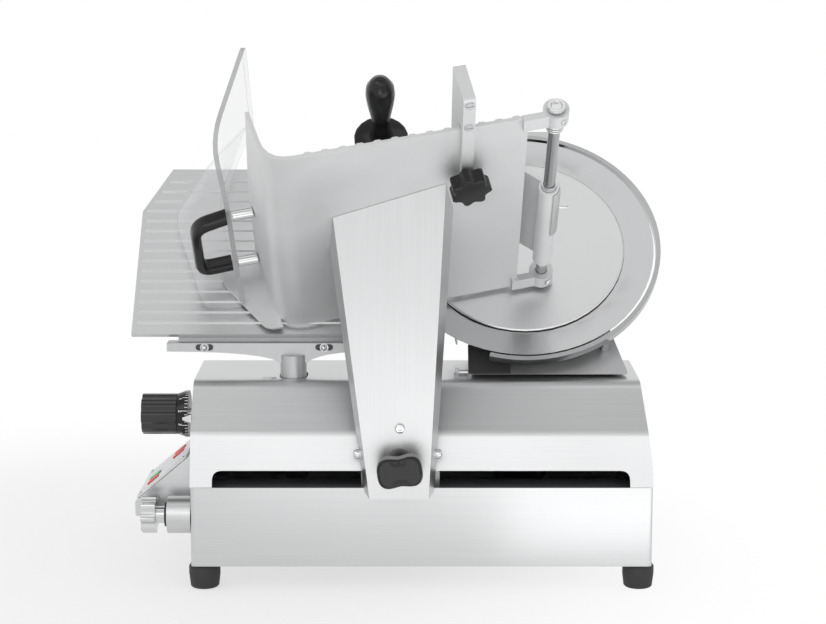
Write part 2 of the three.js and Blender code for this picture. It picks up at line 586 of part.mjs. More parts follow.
// Carriage block on its bushes, and the folded arm that lifts the tray
function addCarriage() {
  const tongue = { low: base.top + 3, high: slot.top - 3 };
  const noseFront = arm.front + arm.sheet + gap;
  const nose = alongX(outline([
    [noseFront, tongue.low], [30, tongue.low], [30, tongue.high], [arm.back, tongue.high],
    [arm.back, arm.knobZ + 8], [noseFront, arm.knobZ + 8],
  ]), arm.knobX - carriage.noseLeft, arm.knobX + carriage.noseRight);
  const beltFace = drive.y - drive.radius - gap - drive.belt - gap;
  const [left, right] = [arm.knobX - carriage.reach, arm.knobX + carriage.reach];
  const [under, wall] = [guide.z - 16, guide.bush + 5];
  const body = alongX(outline([
    [guide.y - wall, under], [beltFace - 14, under], [beltFace - 14, driveZ - 6], [beltFace, driveZ - 6],
    [beltFace, guide.z + 6, 4], [beltFace - 10, tongue.high, 4], [guide.y - wall, tongue.high],
  ]), left, right);
  const half = rail.side / 2 + gap;
  const bore = pinX(guide.bush + gap, left - 1, right + 1, guide.y, guide.z);
  const groove = box(left - 1, right + 1, rail.y - half, rail.y + half, driveZ - 7, rail.z + half);
  const socket = pinY(armKnob.stud + gap, noseFront - 1, noseFront + 18, arm.knobX, arm.knobZ);
  add(machine, 'carriage_block', cut(join(nose, body), bore, groove, socket), 'cast');
  const bush = () => tube(guide.radius + gap, guide.bush, 0, carriage.bush, 18).rotateY(Math.PI / 2);
  add(machine, 'carriage_bush_left', bush().translate(left, guide.y, guide.z), 'polished');
  add(machine, 'carriage_bush_right', bush().translate(right - carriage.bush, guide.y, guide.z), 'polished');

  const { front, back, bottom, top } = arm;
  const section = (end, inset, depth, z) => [
    [end.left + inset, front + inset, z],
    [end.right - inset, front + inset, z],
    [end.backRight - inset, depth, z],
    [end.backLeft + inset, depth, z],
  ];
  const channel = (inset, depth) => loft(
    section(armFoot, inset, depth, bottom - inset), section(armHead, inset, depth, top + inset));
  const above = fromTray(box(-420, 60, -tray.floor - gap, 260, -80, 420));
  const hole = pinY(armKnob.stud + gap, front - 1, front + arm.sheet + 1, arm.knobX, arm.knobZ);
  add(machine, 'tray_arm', cut(channel(0, back), channel(arm.sheet, back + 0.5), above, hole), 'stainless');

  const { radius, waist, near, far, skirt: wide } = armKnob;
  const lobes = alongY(lobed(radius, waist, 2, 14), front - far, front - near);
  lobes.translate(arm.knobX, 0, arm.knobZ);
  const skirt = turned([[0, gap], [wide - 1, gap], [wide, 4], [wide - 3, near + 1], [0, near + 1]], 24);
  skirt.rotateX(Math.PI / 2).translate(arm.knobX, front, arm.knobZ);
  const stud = pinY(armKnob.stud, front - 1, noseFront + 16, arm.knobX, arm.knobZ);
  add(machine, 'arm_knob', join(lobes, skirt, stud), 'black');
}

// Ribbed tray with its end wall, far flange and rod lugs
function addTray() {
  const { right, corner, floor, near, far } = tray;
  const { height, lean, flange: reach, brow } = trayWall;
  const count = Math.floor((right - rib.first - rib.margin - corner) / rib.pitch) + 1;
  const ribs = Array.from({ length: count }, (_, i) => right - rib.first - rib.pitch * i)
    .flatMap((u) => [[u + 4, 0], [u + 2.5, rib.height], [u - 2.5, rib.height], [u - 4, 0]]);
  const section = outline([[right, -floor], [right, 0], ...ribs, [corner, 0, 25], [corner - lean, height],
    [corner - lean - floor, height], [corner - floor, -floor, 28]]);
  const flange = outline([[corner, -floor], [corner - 17, -floor, 10], [corner - reach, height - brow, 12],
    [corner - reach, height - 2, 8], [corner - lean, height - 2]]);
  const lugs = [far, near + 2 - rod.lugWidth].map((s) => join(
    pin(rod.lug, s, s + rod.lugWidth), box(right - 6, 0, -9, -1, s, s + rod.lugWidth)));
  const bore = pin(rod.radius + gap, far - 1, near + 10);
  const sheetTray = join(alongZ(section, far, near), alongZ(flange, far, far + 3), ...lugs);
  add(trayFrame, 'product_tray', cut(sheetTray, bore), 'satin');
  add(trayFrame, 'pusher_rod', pin(rod.radius, far, near + rod.past), 'polished');
}

// Bent clear guard on two standoffs, with a bow handle
function addGuard() {
  const roll = radians(tray.roll);
  const [across, up] = [tray.corner * Math.cos(roll), tray.corner * Math.sin(roll)];
  const heel = new THREE.Vector3(tray.rodX + across, tray.rodW + up, 0);
  const bent = outline([[-43, 274], [-72, 159, 30], [-41, 25], [-46, 24], [-77.5, 159, 33], [-48, 275]]);
  const trim = outline([[285, guard.far], [275, 139, 8], [156, 121, 30], [69, 116, 12], [47, 36, 12],
    [25, 12], [25, guard.far]]);
  const leaf = common(alongZ(bent, guard.far, 160), alongX(trim, -140, 10));
  const wing = alongZ(outline([[-45, 274], [-87, 218, 20], [-122, 143, 10], [-119, 119, 10], [-85, 19, 10],
    [-45, 19], [-43.5, 25], [-75, 159, 30]]), guard.far, guard.far + guard.thick);
  add(bladeHead, 'clear_guard', join(leaf, wing).translate(...heel), 'clear');

  const wallFace = tray.corner - guard.seat;
  const leafFace = tray.corner - guard.clear;
  const names = ['guard_standoff_upper', 'guard_standoff_lower'];
  guard.standoffs.forEach((s, i) => {
    add(trayFrame, names[i], pinX(guard.standoff, leafFace, wallFace, guard.standoffN, s), 'polished');
  });
  const [high, low] = guard.standoffs;
  const root = leafFace - 6.3;
  const outer = root - guard.handle;
  const bow = outline([[root, low - 9], [outer, low - 9, 16], [outer, high - 2, 18], [root, high + 9],
    [root, high - 9], [outer + 14, high - 18, 9], [outer + 14, low + 9, 8], [root, low + 9]]);
  add(trayFrame, 'guard_handle', alongY(bow, guard.standoffN - 11, guard.standoffN + 11), 'black');
}

// Fence that hooks round the tray's near edge and is clamped from below
function addFence() {
  const { u, thick, low, tall, tongue, knobS, knobRadius } = fence;
  const high = tray.near + fence.past;
  const top = -tray.floor - gap;
  const clear = 2;
  const [under, tip, bend] = [top - tongue, knobS - 10, tray.near + 3];
  const hook = outline([[clear, low], [tall, low], [tall, high, 3], [under, high, 3], [under, tip],
    [top, tip], [top, bend], [clear, bend]]);
  const bar = alongX(hook, u - thick / 2, u + thick / 2);
  const socket = pinY(fence.stud + gap, under - 1, top + 1, u, knobS);
  add(trayFrame, 'fence', cut(bar, socket), 'satin');
  const star = alongY(lobed(knobRadius, 5, 7), under - 20, under - 3).translate(u, 0, knobS);
  const stud = pinY(fence.stud, under - 4, top - gap, u, knobS);
  const collar = pinY(8, under - 4, under - gap, u, knobS);
  add(trayFrame, 'fence_knob', join(star, stud, collar), 'black');
}

// Pusher: a bush that slides on the rod, and the arm, toothed paddle and handle that lift about it
function addPusher() {
  const { low, high, bush, barrel, sheet: thick, deck, handleN, handleS } = pusher;
  add(trayFrame, 'pusher_bush', tube(rod.radius + gap, bush, low, high, 18), 'polished');
  const [start, stop] = [low + 6, high - 6];
  const left = tray.corner + paddle.wallGap;
  const handleU = (left + paddle.right) / 2 + paddle.handle;
  const web = outline([[-2, 4], [-24, deck - 14, 6], [-52, deck, 8], [-70, deck], [-70, deck + thick],
    [-50, deck + thick, 8], [-21, deck - 9, 6], [3, 8]]);
  const strap = box(left + 35, -69, deck, deck + thick, stop - 44, stop);
  const boss = box(handleU - 11, handleU + 11, deck, handleN + 10, stop - 22, stop);
  const stem = pin(6, stop - 4, handleS - gap).translate(handleU, handleN, 0);
  const bore = pin(bush + gap, low, high);
  const sleeve = pin(barrel, start, stop);
  add(trayFrame, 'pusher_arm', cut(join(sleeve, alongZ(web, start, stop), strap, boss, stem), bore), 'satin');

  const { right, low: edge, rows, toothPitch, rowPitch } = paddle;
  const top = deck - gap;
  const shelf = box(left, right, top - thick, top, start, stop);
  const face = box(left, right, edge, top, start, start + thick);
  const teeth = Math.floor((right - left - 20) / toothPitch) + 1;
  const spikes = Array.from({ length: teeth * rows }, (_, i) => {
    const spike = new THREE.ConeGeometry(4, 8, 4).rotateX(-Math.PI / 2);
    const [place, row] = [i % teeth, Math.floor(i / teeth)];
    return spike.translate(left + 10 + toothPitch * place, edge + 10 + rowPitch * row, start - 3);
  });
  add(trayFrame, 'pusher_plate', join(shelf, face, ...spikes), 'satin');
  const pear = [[0, 0], [25, 0], [27, 2], [27, 5], [25, 7], [12, 9], [9, 16], [9, 34], [13, 58], [14.5, 72],
    [13.5, 82], [9, 90], [4, 93], [0, 93.5]];
  add(trayFrame, 'pusher_handle', turned(pear, 20).translate(handleU, handleN, handleS), 'black');
}

addBase();
addCover();
addPanel();
addBladeHead();
addBlade();
addMotor();
addGauge();
addThicknessKnob();
addCarriageDrive();
addCarriage();
addTray();
addGuard();
addFence();
addPusher();

// The origin is below the middle of the whole machine, on the floor
machine.updateMatrixWorld(true);
const extent = new THREE.Box3().setFromObject(machine, true);
machine.position.set(-(extent.min.x + extent.max.x) / 2, -(extent.min.y + extent.max.y) / 2, -extent.min.z);
const slicer = new THREE.Group();
slicer.add(machine);

export default slicer;
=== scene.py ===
# Looks of the electric food slicer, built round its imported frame.
import json
import math

import bmesh
import bpy
from mathutils import Matrix, Vector


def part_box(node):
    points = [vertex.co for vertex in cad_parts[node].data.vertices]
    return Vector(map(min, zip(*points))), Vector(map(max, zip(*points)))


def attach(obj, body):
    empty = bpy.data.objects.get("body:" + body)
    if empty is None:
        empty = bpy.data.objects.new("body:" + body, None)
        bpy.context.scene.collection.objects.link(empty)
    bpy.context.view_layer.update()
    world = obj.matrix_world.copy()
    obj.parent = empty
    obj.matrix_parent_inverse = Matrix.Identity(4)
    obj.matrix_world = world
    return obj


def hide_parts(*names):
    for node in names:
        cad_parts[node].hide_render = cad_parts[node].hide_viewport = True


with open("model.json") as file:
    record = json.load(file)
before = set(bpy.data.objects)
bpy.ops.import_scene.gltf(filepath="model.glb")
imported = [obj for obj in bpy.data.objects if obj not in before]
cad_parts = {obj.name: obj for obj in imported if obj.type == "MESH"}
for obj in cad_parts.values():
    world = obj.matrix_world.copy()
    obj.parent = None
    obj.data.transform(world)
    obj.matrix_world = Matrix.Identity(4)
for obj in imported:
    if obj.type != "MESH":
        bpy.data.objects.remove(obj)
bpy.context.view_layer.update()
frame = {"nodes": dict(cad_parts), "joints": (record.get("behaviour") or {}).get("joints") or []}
NODES = frame["nodes"]
JOINTS = {joint["name"]: joint for joint in frame["joints"]}
MM = 0.001


# Frames in millimetres, taken from the joints and from the base housing's corner
def basis(origin, x, y, z):
    rows = [[x[i], y[i], z[i], origin[i]] for i in range(3)]
    return Matrix([*rows, [0, 0, 0, 1]])


def scaled(matrix):
    return matrix @ Matrix.Scale(MM, 4)


def joint_axis(name):
    return Vector(JOINTS[name]["axis"])


BASE_CORNER_MM = Vector((-231, 0, 26))
PANEL_CORNER_MM = Vector((-294, 0, 84))
AXIS_X = Vector((1, 0, 0))
AXIS_Y = Vector((0, 1, 0))
BLADE_AXIS = joint_axis("blade_spin")
BLADE_CENTRE = JOINTS["blade_spin"]["pos_m"]
PANEL_FACING = -joint_axis("stop_press")
base_corner = Vector(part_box("base_housing")[0])
MACHINE = scaled(Matrix.Translation(base_corner - BASE_CORNER_MM * MM))
BLADE = scaled(basis(BLADE_CENTRE, AXIS_X, BLADE_AXIS.cross(AXIS_X), BLADE_AXIS))
tray_axes = [joint_axis(name) for name in ("fence_slide", "fence_knob_turn", "pusher_slide")]
TRAY = scaled(basis(JOINTS["pusher_lift"]["pos_m"], *tray_axes))
PANEL = scaled(basis(MACHINE @ PANEL_CORNER_MM, AXIS_Y.cross(PANEL_FACING), AXIS_Y, PANEL_FACING))


# Node helpers for procedural materials
def rgba(value):
    return (*value, 1) if isinstance(value, tuple) else (value, value, value, 1)


def darker(colour, share):
    return tuple(share * c for c in colour)


class Shader:
    def __init__(self, name, **sockets):
        self.material = bpy.data.materials.new(name)
        self.material.use_nodes = True
        self.tree = self.material.node_tree
        self.surface = self.tree.nodes["Principled BSDF"]
        for socket, value in sockets.items():
            self.surface.inputs[socket.replace("_", " ")].default_value = value

    def node(self, kind, **settings):
        made = self.tree.nodes.new(kind)
        for key, value in settings.items():
            setattr(made, key, value)
        return made

    def link(self, source, target):
        self.tree.links.new(source, target)

    def feed(self, source, socket):
        self.link(source, self.surface.inputs[socket])

    def coordinates(self, scale=(1, 1, 1)):
        place = self.node("ShaderNodeTexCoord")
        mapping = self.node("ShaderNodeMapping")
        mapping.inputs["Scale"].default_value = scale
        self.link(place.outputs["Object"], mapping.inputs["Vector"])
        return mapping.outputs["Vector"]

    def noise(self, vector, scale, detail=3.0, roughness=0.5):
        made = self.node("ShaderNodeTexNoise")
        made.inputs["Scale"].default_value = scale
        made.inputs["Detail"].default_value = detail
        made.inputs["Roughness"].default_value = roughness
        self.link(vector, made.inputs["Vector"])
        return made.outputs["Fac"]

    def ramp(self, source, low, high, start=0.3, end=0.7):
        made = self.node("ShaderNodeValToRGB")
        first, last = made.color_ramp.elements
        first.position, last.position = start, end
        first.color, last.color = rgba(low), rgba(high)
        self.link(source, made.inputs["Fac"])
        return made.outputs["Color"]

    def arithmetic(self, operation, *terms):
        made = self.node("ShaderNodeMath", operation=operation)
        for socket, term in zip(made.inputs, terms):
            if isinstance(term, (int, float)):
                socket.default_value = term
            else:
                self.link(term, socket)
        return made.outputs[0]

    def offset_from(self, centre):
        place = self.node("ShaderNodeTexCoord")
        shift = self.node("ShaderNodeVectorMath", operation="SUBTRACT")
        self.link(place.outputs["Object"], shift.inputs[0])
        shift.inputs[1].default_value = centre
        return shift.outputs["Vector"]

    def length(self, vector):
        made = self.node("ShaderNodeVectorMath", operation="LENGTH")
        self.link(vector, made.inputs[0])
        return made.outputs["Value"]

    def bump(self, height, strength, distance=0.0001):
        made = self.node("ShaderNodeBump")
        made.inputs["Strength"].default_value = strength
        made.inputs["Distance"].default_value = distance
        self.link(height, made.inputs["Height"])
        self.feed(made.outputs["Normal"], "Normal")


# Brushed sheet: fine streaks along one axis in the roughness, the colour and a faint relief
def brushed(name, colour, roughness, grain=(6, 900, 900), relief=0.12):
    streak_shade, cloud_scale = 0.93, 9.0
    streak_spread, cloud_spread, offset = 0.16, 0.08, 0.1
    shader = Shader(name, Metallic=1.0)
    streaks = shader.noise(shader.coordinates(grain), 1.0, detail=4.0, roughness=0.6)
    cloud = shader.noise(shader.coordinates(), cloud_scale, detail=2.0)
    shader.feed(shader.ramp(streaks, darker(colour, streak_shade), colour), "Base Color")
    spread = shader.arithmetic("MULTIPLY_ADD", streaks, streak_spread, roughness - offset)
    shader.feed(shader.arithmetic("MULTIPLY_ADD", cloud, cloud_spread, spread), "Roughness")
    shader.bump(streaks, relief, distance=0.0002)
    return shader.material


# Bead-blasted or sanded metal: an even fine tooth with soft clouding
def blasted(name, colour, roughness, tooth=1600.0, relief=0.15, metallic=1.0):
    shade, cloud_scale, smoother, rougher = 0.92, 14.0, 0.05, 0.06
    shader = Shader(name, Metallic=metallic)
    place = shader.coordinates()
    fine = shader.noise(place, tooth, detail=2.0)
    cloud = shader.noise(place, cloud_scale)
    shader.feed(shader.ramp(cloud, darker(colour, shade), colour), "Base Color")
    shader.feed(shader.ramp(cloud, roughness - smoother, roughness + rougher), "Roughness")
    shader.bump(fine, relief)
    return shader.material


# Polished metal with faint handling haze
def bright(name, colour, roughness):
    shade, haze_scale, rougher, grain, relief = 0.96, 60.0, 0.08, 900.0, 0.03
    shader = Shader(name, Metallic=1.0)
    place = shader.coordinates()
    haze = shader.noise(place, haze_scale, detail=4.0, roughness=0.6)
    shader.feed(shader.ramp(haze, darker(colour, shade), colour), "Base Color")
    shader.feed(shader.ramp(haze, roughness, roughness + rougher), "Roughness")
    shader.bump(shader.noise(place, grain, detail=2.0), relief)
    return shader.material


# Steel turned on a lathe: rings about the blade's axis
def turned_steel(name, colour, roughness, pitch=0.0011):
    shade, smoother, rougher, relief = 0.94, 0.03, 0.05, 0.03
    shader = Shader(name, Metallic=1.0)
    away = shader.node("ShaderNodeVectorMath", operation="CROSS_PRODUCT")
    shader.link(shader.offset_from(BLADE_CENTRE), away.inputs[0])
    away.inputs[1].default_value = BLADE_AXIS
    rings = shader.node("ShaderNodeTexNoise", noise_dimensions="1D")
    rings.inputs["Scale"].default_value = 1 / pitch
    rings.inputs["Detail"].default_value = 3.0
    shader.link(shader.length(away.outputs["Vector"]), rings.inputs["W"])
    marks = rings.outputs["Fac"]
    shader.feed(shader.ramp(marks, darker(colour, shade), colour), "Base Color")
    shader.feed(shader.ramp(marks, roughness - smoother, roughness + rougher), "Roughness")
    shader.bump(marks, relief)
    return shader.material


# Moulded plastic or rubber with a fine grain
def moulded(name, colour, roughness, grain=1400.0, relief=0.1, coat=0.0, sheen=0.5):
    gain, lift, cloud_scale, smoother, rougher = 1.25, 0.004, 40.0, 0.04, 0.06
    shader = Shader(name, Coat_Weight=coat, Coat_Roughness=0.08, Specular_IOR_Level=sheen)
    place = shader.coordinates()
    fine = shader.noise(place, grain, detail=2.0)
    cloud = shader.noise(place, cloud_scale)
    pale = tuple(min(1.0, gain * c + lift) for c in colour)
    shader.feed(shader.ramp(cloud, colour, pale), "Base Color")
    shader.feed(shader.ramp(cloud, roughness - smoother, roughness + rougher), "Roughness")
    shader.bump(fine, relief)
    return shader.material


# Clear acrylic: a faint cool veil with a soft haze
def acrylic(name, colour, alpha):
    shade, haze_scale, smoothest, roughest = 0.94, 60.0, 0.03, 0.08
    shader = Shader(name, Alpha=alpha, IOR=1.49)
    haze = shader.noise(shader.coordinates(), haze_scale, detail=2.0)
    shader.feed(shader.ramp(haze, darker(colour, shade), colour), "Base Color")
    shader.feed(shader.ramp(haze, smoothest, roughest), "Roughness")
    return shader.material


STEEL = (0.65, 0.655, 0.66)
BLACK = (0.006, 0.006, 0.0065)
MATERIALS = {
    "sheet": brushed("brushed_sheet", STEEL, 0.33),
    "sheet_upright": brushed("brushed_sheet_upright", STEEL, 0.34, grain=(900, 900, 6)),
    "tray": blasted("satin_tray", (0.7, 0.705, 0.71), 0.5, metallic=0.7),
    # Paler, less metallic copy of the tray's satin: painted light on the pusher, which sits in shade and
    # reflects dark parts
    "pusher": blasted("satin_pusher_painted_light", (0.78, 0.785, 0.79), 0.5, metallic=0.3),
    "plate": brushed("satin_plate", (0.68, 0.685, 0.69), 0.38, grain=(6, 700, 700)),
    "cast": blasted("sanded_casting", (0.54, 0.545, 0.55), 0.46, tooth=900.0, relief=0.25),
    "chrome": bright("polished_metal", (0.66, 0.665, 0.67), 0.12),
    "ground": bright("ground_steel", (0.42, 0.425, 0.43), 0.2),
    "knife": turned_steel("knife_steel", (0.52, 0.525, 0.53), 0.2),
    "disc": turned_steel("disc_steel", (0.76, 0.765, 0.77), 0.38, pitch=0.0007),
    # Dark paint on rods, rails, pulleys and motors; the same material is the painted shade of the gauge
    # bracket's slots
    "dark": moulded("dark_paint_and_slot_shade", (0.035, 0.037, 0.04), 0.45),
    "black": moulded("black_moulding", BLACK, 0.22, coat=0.25, sheen=0.2),
    "gloss": moulded("gloss_moulding", BLACK, 0.12, relief=0.03, coat=0.5, sheen=0.4),
    "rubber": moulded("black_rubber", (0.028, 0.028, 0.029), 0.7, grain=900.0, relief=0.3),
    "clear": acrylic("clear_acrylic", (0.86, 0.88, 0.89), 0.16),
    # Grey, nearly opaque edge material for the guard: painted reflection in place of the light an acrylic
    # edge bends and mirrors
    "rim": acrylic("acrylic_rim_painted_reflection", (0.34, 0.35, 0.355), 0.8),
    "overlay": moulded("panel_overlay", (0.62, 0.63, 0.64), 0.42),
    "red": moulded("red_key", (0.62, 0.035, 0.03), 0.38),
    "green": moulded("green_key", (0.04, 0.36, 0.12), 0.38),
    "white": moulded("white_print", (0.85, 0.85, 0.85), 0.5),
}
FINISH = {
    "sheet": [
        "base_housing", "bottom_plate", "upper_cover", "control_panel_box", "belt_cover", "slice_deflector",
        "clutch_boss",
    ],
    "sheet_upright": ["tray_arm"],
    "tray": ["product_tray", "fence"],
    "pusher": ["pusher_arm", "pusher_plate"],
    "plate": ["gauge_plate", "sharpener_seat"],
    "cast": ["blade_frame", "gauge_bracket", "rod_bracket_left", "rod_bracket_right", "carriage_block"],
    "ground": ["blade_ring_guard", "pusher_rod"],
    "chrome": [
        "blade_spindle", "gauge_guide", "thickness_shaft", "clutch_knob", "carriage_bush_left",
        "carriage_bush_right", "guard_standoff_upper", "guard_standoff_lower", "pusher_bush",
    ],
    "knife": ["blade"],
    "disc": ["blade_cover"],
    "dark": [
        "carriage_guide_rod", "carriage_rail", "blade_pulley", "motor_pulley", "blade_motor",
        "carriage_gearmotor", "carriage_drive_pulley", "carriage_idler_pulley",
    ],
    "black": [
        "cable_gland", "blade_cover_knob", "thickness_dial", "arm_knob", "guard_handle", "fence_knob",
        "pusher_handle",
    ],
    "gloss": ["thickness_knob"],
    "rubber": [
        "foot_front_left", "foot_front_right", "foot_rear_left", "foot_rear_right", "blade_belt",
        "carriage_belt",
    ],
    "clear": ["clear_guard"],
    "overlay": ["control_panel_face"],
    "red": ["stop_button", "carriage_stop_button", "carriage_start_button"],
    "green": ["start_button"],
}


# An empty geometry-nodes group with its input and output
def geometry_group(name):
    group = bpy.data.node_groups.new(name, "GeometryNodeTree")
    for way in ("INPUT", "OUTPUT"):
        group.interface.new_socket("Geometry", in_out=way, socket_type="NodeSocketGeometry")
    return group, group.nodes.new("NodeGroupInput"), group.nodes.new("NodeGroupOutput")


# Shading that is smooth across gentle bends and sharp at folds
def smooth_group(limit_degrees):
    group, start, end = geometry_group(f"smooth_below_{limit_degrees}")
    faces = group.nodes.new("GeometryNodeSetShadeSmooth")
    edges = group.nodes.new("GeometryNodeSetShadeSmooth")
    edges.domain = "EDGE"
    edges.inputs["Shade Smooth"].default_value = False
    angle = group.nodes.new("GeometryNodeInputMeshEdgeAngle")
    sharp = group.nodes.new("FunctionNodeCompare")
    sharp.operation = "GREATER_THAN"
    sharp.inputs["B"].default_value = math.radians(limit_degrees)
    group.links.new(angle.outputs["Unsigned Angle"], sharp.inputs["A"])
    group.links.new(sharp.outputs["Result"], edges.inputs["Selection"])
    group.links.new(start.outputs["Geometry"], faces.inputs["Geometry"])
    group.links.new(faces.outputs["Geometry"], edges.inputs["Geometry"])
    group.links.new(edges.outputs["Geometry"], end.inputs["Geometry"])
    return group


SMOOTH = smooth_group(42)
WELD = 2e-5
FLAT_DEGREES = 1.0
BEVEL_DEGREES = 38


def weld_vertices(obj):
    weld = obj.modifiers.new("weld", "WELD")
    weld.merge_threshold = WELD


# Takes out needless edges, rounds the sharp ones and sets the shading
def soften(obj, width, segments=2):
    weld_vertices(obj)
    flat = obj.modifiers.new("flat", "DECIMATE")
    flat.decimate_type = "DISSOLVE"
    flat.angle_limit = math.radians(FLAT_DEGREES)
    if width:
        bevel = obj.modifiers.new("bevel", "BEVEL")
        bevel.limit_method = "ANGLE"
        bevel.angle_limit = math.radians(BEVEL_DEGREES)
        bevel.width = width
        bevel.segments = segments
    shade = obj.modifiers.new("smooth", "NODES")
    shade.node_group = SMOOTH
    even = obj.modifiers.new("even", "WEIGHTED_NORMAL")
    even.keep_sharp = True


# Rounds a moulded piece all over
def mould(obj, voxel, passes):
    weld_vertices(obj)
    remesh = obj.modifiers.new("remesh", "REMESH")
    remesh.mode = "VOXEL"
    remesh.voxel_size = voxel
    remesh.use_smooth_shade = True
    relax = obj.modifiers.new("relax", "SMOOTH")
    relax.factor = 0.5
    relax.iterations = passes


# Gives the second material to the faces that look along an axis, past a plane across it
def edge_group(axis, past, least):
    group, start, end = geometry_group("near_edge")
    both = group.nodes.new("FunctionNodeBooleanMath")
    fields = {"GeometryNodeInputNormal": ("Normal", least), "GeometryNodeInputPosition": ("Position", past)}
    for i, (kind, (output, limit)) in enumerate(fields.items()):
        field = group.nodes.new(kind)
        along = group.nodes.new("ShaderNodeVectorMath")
        along.operation = "DOT_PRODUCT"
        along.inputs[1].default_value = axis
        beyond = group.nodes.new("FunctionNodeCompare")
        beyond.operation = "GREATER_THAN"
        beyond.inputs["B"].default_value = limit
        group.links.new(field.outputs[output], along.inputs[0])
        group.links.new(along.outputs["Value"], beyond.inputs["A"])
        group.links.new(beyond.outputs["Result"], both.inputs[i])
    mark = group.nodes.new("GeometryNodeSetMaterialIndex")
    mark.inputs["Material Index"].default_value = 1
    group.links.new(start.outputs["Geometry"], mark.inputs["Geometry"])
    group.links.new(both.outputs[0], mark.inputs["Selection"])
    group.links.new(mark.outputs["Geometry"], end.inputs["Geometry"])
    return group


GUARD_EDGE = 0.0017
GUARD_EDGE_SEGMENTS = 4
GUARD_LEAF_MM = 14
GUARD_EDGE_FACING = 0.25


# A clear sheet whose cut edges are rounded; where they face the operator they get a greyer, denser material,
# a painted reflection standing in for the light that clear edges bend and mirror
def rounded_sheet(obj):
    obj.data.materials.append(MATERIALS["rim"])
    soften(obj, GUARD_EDGE, GUARD_EDGE_SEGMENTS)
    obj.modifiers["bevel"].material = 1
    leaf_start = Vector(BLADE_CENTRE).dot(BLADE_AXIS) + GUARD_LEAF_MM * MM
    rim = obj.modifiers.new("rim", "NODES")
    rim.node_group = edge_group(BLADE_AXIS, leaf_start, GUARD_EDGE_FACING)


MOULDED = {"fence_knob": {"voxel": 0.0008, "passes": 10}}
EDGE = {
    "blade": 0, "base_housing": 0.0008, "upper_cover": 0.001, "product_tray": 0.001, "tray_arm": 0.0012,
    "control_panel_box": 0.0012, "pusher_handle": 0,
}
DEFAULT_EDGE = 0.0005


def finish_nodes():
    for finish, names in FINISH.items():
        for name in names:
            obj = NODES[name]
            obj.data.materials.clear()
            obj.data.materials.append(MATERIALS[finish])
            if name == "clear_guard":
                rounded_sheet(obj)
            elif name in MOULDED:
                mould(obj, **MOULDED[name])
            else:
                soften(obj, EDGE.get(name, DEFAULT_EDGE))


MERGE_MM = 1e-4


# Small turned and cut pieces, built in millimetres about their own Z axis
def hexagon(across):
    def radius(angle):
        return across / 2 / math.cos((angle + math.pi / 6) % (math.pi / 3) - math.pi / 6)
    return radius


def lathe(profile, sides=36):
    bm = bmesh.new()
    rings = []
    for radius, height in profile:
        points = []
        for i in range(sides):
            angle = 2 * math.pi * i / sides
            reach = radius(angle) if callable(radius) else radius
            points.append((reach * math.cos(angle), reach * math.sin(angle), height))
        rings.append([bm.verts.new(point) for point in points])
    for low, high in zip(rings, rings[1:]):
        for i in range(sides):
            bm.faces.new((low[i - 1], low[i], high[i], high[i - 1]))
    bmesh.ops.remove_doubles(bm, verts=bm.verts, dist=MERGE_MM)
    bmesh.ops.recalc_face_normals(bm, faces=bm.faces)
    return bm


# A prism from an outline in X and Y, between two heights
def prism(points, low, high):
    bm = bmesh.new()
    floor = bm.faces.new([bm.verts.new((x, y, low)) for x, y in points])
    raised = bmesh.ops.extrude_face_region(bm, geom=[floor])
    moved = [item for item in raised["geom"] if isinstance(item, bmesh.types.BMVert)]
    bmesh.ops.translate(bm, verts=moved, vec=(0, 0, high - low))
    bmesh.ops.recalc_face_normals(bm, faces=bm.faces)
    return bm


def arc(radius, start, stop, steps=14):
    angles = [math.radians(start + (stop - start) * i / steps) for i in range(steps + 1)]
    return [(radius * math.cos(angle), radius * math.sin(angle)) for angle in angles]


def merged(*parts):
    whole = bmesh.new()
    for part in parts:
        mesh = bpy.data.meshes.new("part")
        part.to_mesh(mesh)
        part.free()
        whole.from_mesh(mesh)
        bpy.data.meshes.remove(mesh)
    return whole


def lifted(bm, height):
    bmesh.ops.translate(bm, verts=bm.verts, vec=(0, 0, height))
    return bm


def disc(radius, low, high):
    return lathe([(0, low), (radius, low), (radius, high), (0, high)])


def socket_screw(radius, height, key):
    drive = hexagon(key)
    socket_floor = 0.35 * height
    side = [(0, 0), (radius, 0), (radius, 0.5 * height)]
    rim = [(0.88 * radius, 0.85 * height), (0.66 * radius, height)]
    return lathe([*side, *rim, (drive, height), (drive, socket_floor), (0, socket_floor)])


def dome_nut(across, height):
    flats = hexagon(across)
    dome = [(0.44, 0.55), (0.38, 0.8), (0.22, 0.96), (0, 1)]
    crown = [(wide * across, tall * height) for wide, tall in dome]
    return lathe([(0, 0), (flats, 0), (flats, 0.45 * height), *crown])


def slotted_screw(radius, height, slot, steps=14):
    seat = disc(radius, 0, 0.5 * height)
    start = math.asin(slot / 2 / radius)
    angles = [start + (math.pi - 2 * start) * i / steps for i in range(steps + 1)]
    rim = [(radius * math.cos(angle), radius * math.sin(angle)) for angle in angles]
    upper = prism(rim, 0.5 * height, height)
    lower = prism([(x, -y) for x, y in rim], 0.5 * height, height)
    return merged(seat, upper, lower)


def band(inner, outer, low, high):
    return lathe([(inner, low), (outer, low), (outer, high), (inner, high), (inner, low)])


def ring(middle, thickness, height, steps=10):
    turns = [2 * math.pi * i / steps for i in range(steps + 1)]
    return lathe([(middle + thickness * math.cos(t), height + thickness * math.sin(t)) for t in turns])


UP = (0, 0, 1)
DOWN = (0, 0, -1)
FRONT = (0, -1, 0)
BACK = (0, 1, 0)
LEFT = (-1, 0, 0)
ORIGIN = (0, 0, 0)
SMALL_EDGE = 0.0002


